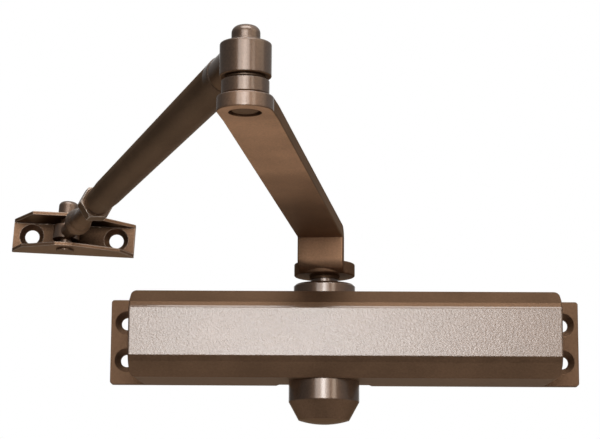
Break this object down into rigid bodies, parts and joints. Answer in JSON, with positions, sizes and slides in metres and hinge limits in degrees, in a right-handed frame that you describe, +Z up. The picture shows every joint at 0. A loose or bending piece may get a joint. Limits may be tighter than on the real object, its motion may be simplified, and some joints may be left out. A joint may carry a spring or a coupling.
{
  "type": "overhead door closer",
  "caption": "Surface-mounted hydraulic door closer: bevelled cylinder body with drilled ears, geared pinion under a cap, joggled main arm, adjustable forearm and frame bracket.",
  "frame": {"origin": "centre of the four mounting holes, on the back face that lies against the door", "axes": "+Z up along the pinion, +Y out of the back face into the door, +X along the body towards its spring end"},
  "size_m": [0.2952, 0.2914, 0.1374],
  "materials": {
    "bronze_casting": "satin bronze lacquer",
    "bronze_steel": "satin bronze lacquer",
    "dark_steel": "satin bronze lacquer",
    "bright_steel": "ground",
    "valve_brass": "turned",
    "bush_bronze": "sintered",
    "seal_rubber": "matt"
  },
  "bodies": {
    "closer": {"closer_body": "bronze_casting", "valve_end_plug": "dark_steel", "spring_end_plug": "dark_steel", "valve_end_plug_seal": "seal_rubber", "spring_end_plug_seal": "seal_rubber", "upper_gland_nut": "bronze_steel", "lower_gland_nut": "dark_steel", "upper_pinion_bearing": "bright_steel", "lower_pinion_bearing": "bright_steel", "upper_pinion_seal": "seal_rubber", "lower_pinion_seal": "seal_rubber", "pinion_cap": "bronze_casting", "spring_seat": "bright_steel", "closing_spring": "bright_steel"},
    "piston": {"piston": "bright_steel", "piston_seal": "seal_rubber", "check_valve_ball": "bright_steel", "check_valve_retainer": "bright_steel"},
    "sweep_valve": {"sweep_valve_screw": "valve_brass", "sweep_valve_seal": "seal_rubber"},
    "latch_valve": {"latch_valve_screw": "valve_brass", "latch_valve_seal": "seal_rubber"},
    "main_arm": {"pinion_shaft": "bright_steel", "main_arm": "bronze_steel", "arm_washer": "dark_steel", "arm_screw": "dark_steel", "elbow_pin": "dark_steel", "elbow_spacer": "bronze_steel", "elbow_washer": "dark_steel"},
    "forearm": {"forearm_knuckle": "bronze_steel", "elbow_bush": "bush_bronze", "forearm_tube": "bronze_steel"},
    "lock_nut": {"lock_nut": "bronze_steel"},
    "rod": {"adjusting_rod": "bronze_steel"},
    "bracket": {"frame_bracket": "bronze_steel", "bracket_pin": "dark_steel"}
  },
  "joints": [
    {"name": "pinion_swing", "type": "hinge", "parent": "closer", "child": "main_arm", "pos_m": [-0.01025, -0.02, 0], "axis": [0, 0, 1], "range_deg": [-170, 0], "stiffness_Nm_per_rad": 6, "springref_deg": 17.19},
    {"name": "piston_travel", "type": "slide", "parent": "closer", "child": "piston", "axis": [1, 0, 0], "range_m": [0, 0.02245], "deforming": ["closing_spring"]},
    {"name": "sweep_valve_turn", "type": "hinge", "parent": "closer", "child": "sweep_valve", "pos_m": [-0.10363, -0.0095, 0.01645], "axis": [1, 0, 0], "range_deg": [-180, 180]},
    {"name": "latch_valve_turn", "type": "hinge", "parent": "closer", "child": "latch_valve", "pos_m": [-0.10363, -0.0095, -0.01675], "axis": [1, 0, 0], "range_deg": [-180, 180]},
    {"name": "elbow_turn", "type": "hinge", "parent": "main_arm", "child": "forearm", "pos_m": [-0.04175, -0.25298, 0.07317], "axis": [0, 0, 1], "continuous": true},
    {"name": "lock_nut_turn", "type": "hinge", "parent": "forearm", "child": "lock_nut", "pos_m": [-0.04381, -0.25376, 0.07987], "axis": [-0.3552, 0.9322, -0.0698], "range_deg": [-180, 180]},
    {"name": "rod_adjust", "type": "slide", "parent": "forearm", "child": "rod", "axis": [-0.3552, 0.9322, -0.0698], "range_m": [-0.012, 0.015]},
    {"name": "bracket_turn", "type": "hinge", "parent": "rod", "child": "bracket", "pos_m": [-0.14618, 0.01489, 0.05977], "axis": [0.0474, 0.0925, 0.9946], "range_deg": [-55, 95]}
  ],
  "couplings": [
    {"joint": "piston_travel", "follows": "pinion_swing", "m_per_rad": -0.0075}
  ]
}
